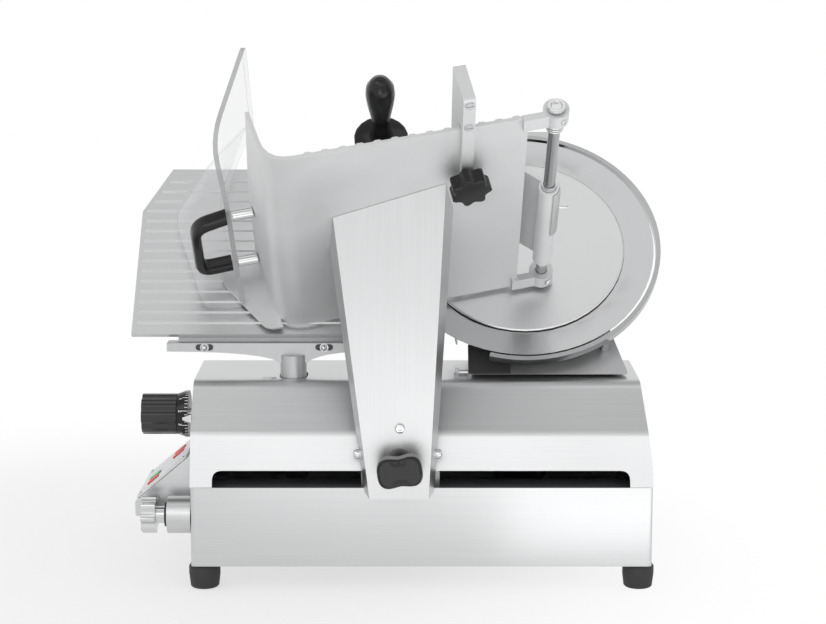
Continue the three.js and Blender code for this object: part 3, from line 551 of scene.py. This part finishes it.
# Places a piece in a frame, with its Z axis along the facing direction
def put(name, bm, place, at, facing, finish, body, edge=SMALL_EDGE):
    turn = Vector(UP).rotation_difference(Vector(facing)).to_matrix().to_4x4()
    bm.transform(place @ Matrix.Translation(at) @ turn)
    mesh = bpy.data.meshes.new(name)
    bm.to_mesh(mesh)
    bm.free()
    obj = bpy.data.objects.new(name, mesh)
    bpy.context.scene.collection.objects.link(obj)
    mesh.materials.append(MATERIALS[finish])
    soften(obj, edge)
    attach(obj, body)
    return obj


def put_bright(name, bm, place, at, facing, body, edge=SMALL_EDGE):
    return put(name, bm, place, at, facing, "chrome", body, edge)


# Points along straight runs that are joined by rounded corners
def rounded_path(corners, steps=8):
    path = [Vector(corners[0][:2])]
    for before, (x, y, radius), after in zip(corners, corners[1:], corners[2:]):
        here = Vector((x, y))
        start = here + (Vector(before[:2]) - here).normalized() * radius
        stop = here + (Vector(after[:2]) - here).normalized() * radius
        for i in range(steps + 1):
            t = i / steps
            path.append(start * (1 - t) ** 2 + here * 2 * t * (1 - t) + stop * t ** 2)
    path.append(Vector(corners[-1][:2]))
    return path


def blunt(value, softness):
    return math.copysign(abs(value) ** (2 / softness), value)


# An oblong bar along a path in X and Z, soft at its edges and deep along Y
def bent_bar(path, half_wide, half_deep, sides=40, softness=3.2):
    bm = bmesh.new()
    last = len(path) - 1
    rings = []
    for i, point in enumerate(path):
        run = path[min(i + 1, last)] - path[max(i - 1, 0)]
        across = Vector((-run.y, run.x)).normalized()
        if i in (0, last):
            across = Vector((0, math.copysign(1, across.y)))
        section = []
        for j in range(sides):
            angle = 2 * math.pi * j / sides
            place = point + across * half_wide * blunt(math.cos(angle), softness)
            deep = half_deep * blunt(math.sin(angle), softness)
            section.append(bm.verts.new((place.x, deep, place.y)))
        rings.append(section)
    for low, high in zip(rings, rings[1:]):
        for j in range(sides):
            bm.faces.new((low[j - 1], low[j], high[j], high[j - 1]))
    bm.faces.new(rings[0])
    bm.faces.new(rings[-1])
    bmesh.ops.recalc_face_normals(bm, faces=bm.faces)
    return bm


# Places in millimetres: the wall's in the tray's frame, the arm's, gauge's and dial's in the machine's
STANDOFF_RISE = 74
STANDOFFS = {"upper": 112, "lower": 30}
ARM_FRONT = -41
ARM_MIDDLE = -13
GAUGE_BOLTS = {"left": -221, "right": -94}
GAUGE_FACE = 74
GAUGE_BOLT_HEIGHT = 244.6
DIAL = (-247, 50, 178)


# The tray with the top of its end wall falling towards the operator
def tray_sheet():
    node = NODES["product_tray"]
    level_end, near, fall = 130, 288, 28
    bend_top, wall_top, lean = 30, 90, 9
    bm = bmesh.new()
    bm.from_mesh(node.data)
    bm.transform(TRAY.inverted() @ node.matrix_world)
    whole = [*bm.verts, *bm.edges, *bm.faces]
    bmesh.ops.bisect_plane(bm, geom=whole, dist=MERGE_MM, plane_co=(0, 0, level_end), plane_no=UP)
    for vert in bm.verts:
        along = max(0, vert.co.z - level_end) / (near - level_end)
        up = max(0, vert.co.y - bend_top) / (wall_top - bend_top)
        drop = fall * along * up
        vert.co.y -= drop
        vert.co.x += drop * lean / wall_top
    edge = EDGE["product_tray"]
    piece = put("tray_sheet", bm, TRAY, ORIGIN, UP, "tray", "carriage", edge)
    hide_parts("product_tray")


# Bow handle on the guard's leaf, in line with the standoffs
def guard_bow():
    root, reach, half_wide, half_deep, edge = -323.3, 34, 5.4, 9, 0.0006
    low, high = STANDOFFS["lower"], STANDOFFS["upper"]
    outer = root - reach
    corners = [(root, low), (outer, low - 2, 14), (outer, high - 9, 15), (root, high)]
    bow = bent_bar(rounded_path(corners), half_wide, half_deep)
    at = (0, STANDOFF_RISE, 0)
    piece = put("guard_bow", bow, TRAY, at, UP, "black", "carriage", edge)
    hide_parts("guard_handle")


# Outline of a grip with two blunt lobes and a hollow flank between them
def grip(scale, wide=22.8, tall=20.5, waist=14, power=2.7):
    def radius(angle):
        across, up = abs(math.cos(angle)), abs(math.sin(angle))
        height = waist + (tall - waist) * across ** 2
        return scale * ((across / wide) ** power + (up / height) ** power) ** (-1 / power)
    return radius


# Clamping grip on the arm: a round neck, a waisted body and a flat crown
def arm_grip():
    axis_height, tilt_degrees, sides = 144, 7, 96
    neck = [(0, 0.5), (16.5, 0.5), (17.5, 3), (15, 12), (13, 14.5)]
    swell = [(0.9, 15.5), (0.98, 17.5), (1, 20), (1, 32), (0.98, 34.5), (0.93, 36), (0.85, 36.7), (0.5, 36.2)]
    body = [(grip(scale), height) for scale, height in swell]
    crown = (0, 36)
    knob = lathe([*neck, *body, crown], sides)
    knob.transform(Matrix.Rotation(math.radians(tilt_degrees), 4, "Z"))
    at = (ARM_MIDDLE, ARM_FRONT, axis_height)
    piece = put("arm_grip", knob, MACHINE, at, FRONT, "black", "arm_knob", 0)
    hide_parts("arm_knob")


def arm_fasteners():
    screw_height, bolt_depth, bolt_height = 182, -15, 150
    screw = socket_screw(radius=5, height=4, key=4)
    put_bright("arm_front_screw", screw, MACHINE, (ARM_MIDDLE, ARM_FRONT, screw_height), FRONT, "carriage")
    flanges = {"left": (-53.6, (-1, -0.17, -0.13)), "right": (22.6, (1, -0.17, -0.06))}
    for side, (x, facing) in flanges.items():
        washer = disc(radius=6.5, low=0, high=1.2)
        bolt = merged(washer, lifted(socket_screw(radius=5, height=6, key=4), 1))
        put_bright(f"arm_bolt_{side}", bolt, MACHINE, (x, bolt_depth, bolt_height), facing, "carriage")


def gauge_bolts():
    half_slot, slot_radius = 6, 3.4
    right = [(half_slot + x, y) for x, y in arc(slot_radius, -90, 90, 9)]
    stadium = right + [(-x, -y) for x, y in right]
    for side, x in GAUGE_BOLTS.items():
        at = (x, GAUGE_FACE, GAUGE_BOLT_HEIGHT)
        # Each slot is a thin dark stadium laid on the bracket's face: painted shade where the slotted hole
        # lies
        slot = prism(stadium, low=0, high=0.4)
        put(f"gauge_slot_painted_shade_{side}", slot, MACHINE, at, FRONT, "dark", "gauge", 0)
        washer = disc(radius=4.6, low=0.3, high=1.2)
        bolt = merged(washer, lifted(dome_nut(across=6.6, height=5), 1))
        put_bright(f"gauge_bolt_{side}", bolt, MACHINE, at, FRONT, "gauge")


def fence_screws():
    fence_middle, face = -89, -10.8
    for level, s in {"upper": 330, "lower": 298}.items():
        screw = slotted_screw(radius=4.4, height=1.6, slot=1.1)
        put_bright(f"fence_screw_{level}", screw, TRAY, (fence_middle, face, s), FRONT, "fence")


# Cap, spring and lug screws of the pusher's rod
def rod_fittings():
    rod_end, first_coil, coil_pitch, coils = 292, 262, 3, 4
    lug_u, lug_n, lug_facing = 5, -11.8, (0.38, -0.92, 0)
    grub_s, foot_s = 282, 12
    cap = lathe([(0, 0), (9, 0), (9, 2.2), (8, 3.4), (6, 3.4), (4.8, 1.6), (0, 1.2)])
    put_bright("rod_cap", cap, TRAY, (0, 0, rod_end), UP, "carriage")
    wire = [ring(middle=7.6, thickness=1.3, height=first_coil + coil_pitch * i) for i in range(coils)]
    put_bright("rod_spring", merged(*wire), TRAY, ORIGIN, UP, "carriage", 0)
    grub = socket_screw(radius=3, height=1.6, key=2.4)
    put_bright("rod_grub_screw", grub, TRAY, (lug_u, lug_n, grub_s), lug_facing, "carriage")
    foot = lathe([(0, 0), (4, 0), (4, 1.6), (3, 2.6), (0, 2.6)])
    put_bright("rod_foot_screw", foot, TRAY, (lug_u, lug_n, foot_s), lug_facing, "carriage")


# Clip and pin on the pusher's sleeve, and the screw through its handle's foot
def pusher_fittings():
    clip_start, clip_end, clip_edge = 96, 164, 0.0004
    clip_outer, clip_inner, from_degrees, to_degrees = 12.4, 10.7, -80, 60
    pin_at, pin_facing, screw_at = (12, -3, 132), (1, -0.25, 0), (-140, 49, 144)
    outline = arc(clip_outer, from_degrees, to_degrees) + arc(clip_inner, to_degrees, from_degrees)
    clip = prism(outline, clip_start, clip_end)
    put("pusher_clip", clip, TRAY, ORIGIN, UP, "plate", "pusher", clip_edge)
    pin = lathe([(0, -2), (1.6, -2), (1.6, 8), (2.4, 8.4), (2.4, 9.6), (1.8, 10.2), (0, 10.2)], sides=20)
    put_bright("pusher_pin", pin, TRAY, pin_at, pin_facing, "pusher")
    screw = socket_screw(radius=4, height=2, key=3)
    put_bright("pusher_grip_screw", screw, TRAY, screw_at, BACK, "pusher")


def panel_screws():
    rows, columns, face = (8, 68), (53, 152), 2.3
    for i, x in enumerate(rows):
        for j, y in enumerate(columns):
            screw = socket_screw(radius=2.4, height=1.4, key=2)
            put_bright(f"panel_screw_{i}{j}", screw, PANEL, (x, y, face), UP, "base")


def dial_ticks():
    count, long_every, long_tick, short_tick, half_wide, proud = 40, 4, 5.5, 3, 0.25, 0.25
    along, radius = 12, 24.5
    rim = Matrix.Translation((along, 0, radius)) @ Matrix.Rotation(math.pi / 2, 4, "Z")
    ticks = []
    for i in range(count):
        end = short_tick if i % long_every else long_tick
        tick = prism([(-half_wide, 0), (half_wide, 0), (half_wide, end), (-half_wide, end)], 0, proud)
        tick.transform(Matrix.Rotation(2 * math.pi * i / count, 4, "X") @ rim)
        ticks.append(tick)
    put("dial_ticks", merged(*ticks), MACHINE, DIAL, UP, "white", "thickness_knob", 0)


# A digit's mesh, lying in X and Y
def numeral(digit, size=5, depth=0.15):
    curve = bpy.data.curves.new("numeral", "FONT")
    curve.body = str(digit)
    curve.size = size
    curve.extrude = depth
    curve.align_x = "CENTER"
    curve.align_y = "CENTER"
    sign = bpy.data.objects.new("numeral", curve)
    bpy.context.scene.collection.objects.link(sign)
    bpy.context.view_layer.update()
    mesh = bpy.data.meshes.new_from_object(sign.evaluated_get(bpy.context.evaluated_depsgraph_get()))
    bpy.data.objects.remove(sign)
    return mesh


def dial_numerals():
    count, cone_rise, cone_run, along, radius = 10, 3, 9, 4, 22.9
    lean = Matrix.Rotation(math.atan2(cone_rise, cone_run), 4, "Y").inverted()
    cone = Matrix.Translation((along, 0, radius)) @ lean @ Matrix.Rotation(-math.pi / 2, 4, "Z")
    numerals = bmesh.new()
    for i in range(count):
        mesh = numeral(i)
        mesh.transform(Matrix.Rotation(2 * math.pi * i / count, 4, "X") @ cone)
        numerals.from_mesh(mesh)
        bpy.data.meshes.remove(mesh)
    put("dial_numerals", numerals, MACHINE, DIAL, UP, "white", "thickness_knob", 0)


def dial_pointer():
    half_thick, edge = 1.2, 0.0004
    at = (BASE_CORNER_MM.x, 24, DIAL[2])
    pointer = prism([(-9, -1.4), (-9, 1.4), (0, 4.5), (0, -4.5)], -half_thick, half_thick)
    put_bright("dial_pointer", pointer, MACHINE, at, FRONT, "base", edge)


def cover_plug():
    at, facing = (-152, 72, 212.2), (0, -0.03, 1)
    plug = lathe([(0, 0), (7.5, 0), (7.2, 0.8), (6, 1.2), (0, 1.4)])
    put("cover_plug", plug, MACHINE, at, facing, "plate", "base")


def lid_screws():
    lid_face = -89.3
    spots = {"a": (-48, -90), "b": (48, -90), "c": (-40, 34), "d": (40, 34)}
    for mark, (x, w) in spots.items():
        screw = socket_screw(radius=4, height=2.6, key=3)
        put_bright(f"lid_screw_{mark}", screw, BLADE, (x, w, lid_face), DOWN, "base")


def guard_nuts():
    wall_face, facing = -290.2, (1, 0.1, 0)
    for mark, s in STANDOFFS.items():
        nut = dome_nut(across=11, height=8)
        put_bright(f"guard_nut_{mark}", nut, TRAY, (wall_face, STANDOFF_RISE, s), facing, "carriage")


def clutch_washer():
    boss_end = (-256.3, 22, 76)
    washer = band(inner=9.2, outer=12.5, low=0.2, high=3)
    put("clutch_washer", washer, MACHINE, boss_end, LEFT, "rubber", "base")


# Thin black block and its bolt at the foot of the casting, below the knife
def neck_seal():
    left, right, low, high = -61, -16, -154, -118
    back, front, edge, bolt_at = -22, -20.4, 0.0004, (-62, -147, -30)
    seal = prism([(left, low), (right, low), (right, high), (left, high)], back, front)
    put("neck_seal", seal, BLADE, ORIGIN, UP, "rubber", "base", edge)
    nut = hexagon(9)
    stud = lathe([(0, -1), (2.6, -1), (2.6, 9), (nut, 9), (nut, 13), (3.6, 14), (0, 14)], sides=24)
    put_bright("neck_bolt", stud, BLADE, bolt_at, LEFT, "base")


FLOOR_SIZE = 8
FLOOR_DROP = 0.0004
FLOOR_TONE = (0.86, 0.86, 0.86, 1)
SHADOW_CENTRE = (-0.3, 0.05, 0)
SHADOW_REACH = {"From Min": 0.25, "From Max": 0.75, "To Min": 0.6, "To Max": 1.0}


# White floor: plain white to the eye and to reflections far off, and showing its shadow near the machine
def white_floor():
    bpy.ops.mesh.primitive_plane_add(size=FLOOR_SIZE, location=(0, 0, -FLOOR_DROP))
    floor = bpy.context.object
    floor.name = "floor"
    shader = Shader("floor_white", Base_Color=FLOOR_TONE, Roughness=0.9)
    paths = shader.node("ShaderNodeLightPath").outputs
    direct = shader.arithmetic("MAXIMUM", paths["Is Camera Ray"], paths["Is Transmission Ray"])
    seen = shader.arithmetic("MAXIMUM", direct, paths["Is Glossy Ray"])
    fade = shader.node("ShaderNodeMapRange", interpolation_type="SMOOTHSTEP")
    for socket, value in SHADOW_REACH.items():
        fade.inputs[socket].default_value = value
    shader.link(shader.length(shader.offset_from(SHADOW_CENTRE)), fade.inputs["Value"])
    glow = shader.node("ShaderNodeEmission")
    mix = shader.node("ShaderNodeMixShader")
    shader.link(shader.arithmetic("MULTIPLY", seen, fade.outputs["Result"]), mix.inputs["Fac"])
    shader.link(shader.surface.outputs["BSDF"], mix.inputs[1])
    shader.link(glow.outputs["Emission"], mix.inputs[2])
    shader.link(mix.outputs["Shader"], shader.tree.nodes["Material Output"].inputs["Surface"])
    floor.data.materials.append(shader.material)


# A white room that falls off overhead
def pale_world():
    white_up_to, overhead = 0.55, 0.42
    world = bpy.data.worlds.new("studio")
    bpy.context.scene.world = world
    world.use_nodes = True
    tree = world.node_tree
    place = tree.nodes.new("ShaderNodeTexCoord")
    split = tree.nodes.new("ShaderNodeSeparateXYZ")
    tree.links.new(place.outputs["Generated"], split.inputs["Vector"])
    room = tree.nodes.new("ShaderNodeValToRGB")
    level, top = room.color_ramp.elements
    level.position, level.color = white_up_to, rgba(1)
    top.position, top.color = 1.0, rgba(overhead)
    tree.links.new(split.outputs["Z"], room.inputs["Fac"])
    tree.links.new(room.outputs["Color"], tree.nodes["Background"].inputs["Color"])


# Soft lamps: the two named cards lie on the floor and light the front from below
LAMPS = {
    "key": {"place": (-1.6, -2.0, 2.2), "target": (0, 0, 0.25), "size": (1.8, 1.2), "watts": 9},
    "front": {"place": (0.2, -3.0, 1.35), "target": (0, 0, 0.2), "size": (3.0, 0.8), "watts": 7.5},
    "top": {"place": (0.1, -0.4, 2.5), "target": (0, 0, 0.2), "size": (1.8, 0.7), "watts": 3},
    "card_middle": {
        "place": (-0.02, -0.88, 0.004), "target": (-0.02, -0.88, 1), "size": (0.42, 0.55), "watts": 1.05,
    },
    "card_right": {
        "place": (0.42, -0.43, 0.004), "target": (0.42, -0.43, 1), "size": (0.6, 0.38), "watts": 0.75,
    },
}


def lamp(name, place, target, size, watts):
    light = bpy.data.lights.new(name, "AREA")
    light.shape = "RECTANGLE"
    light.size, light.size_y = size
    light.energy = watts
    obj = bpy.data.objects.new(name, light)
    obj.location = place
    obj.rotation_euler = (Vector(target) - Vector(place)).to_track_quat("-Z", "Y").to_euler()
    bpy.context.scene.collection.objects.link(obj)


def camera():
    place_mm, down_degrees = Vector((0.2, -1989.6, 608.5)), 8.976
    lens = bpy.data.cameras.new("camera")
    lens.sensor_width = 36
    lens.lens = 86.09
    obj = bpy.data.objects.new("camera", lens)
    obj.location = MACHINE @ place_mm
    obj.rotation_euler = (math.radians(90 - down_degrees), 0, 0)
    bpy.context.scene.collection.objects.link(obj)
    bpy.context.scene.camera = obj


finish_nodes()
tray_sheet()
guard_bow()
arm_grip()
arm_fasteners()
gauge_bolts()
fence_screws()
rod_fittings()
pusher_fittings()
panel_screws()
dial_ticks()
dial_numerals()
dial_pointer()
cover_plug()
lid_screws()
guard_nuts()
clutch_washer()
neck_seal()
white_floor()
pale_world()
for lamp_name, settings in LAMPS.items():
    lamp(lamp_name, **settings)
camera()

scene = bpy.context.scene
scene.view_settings.view_transform = "Standard"
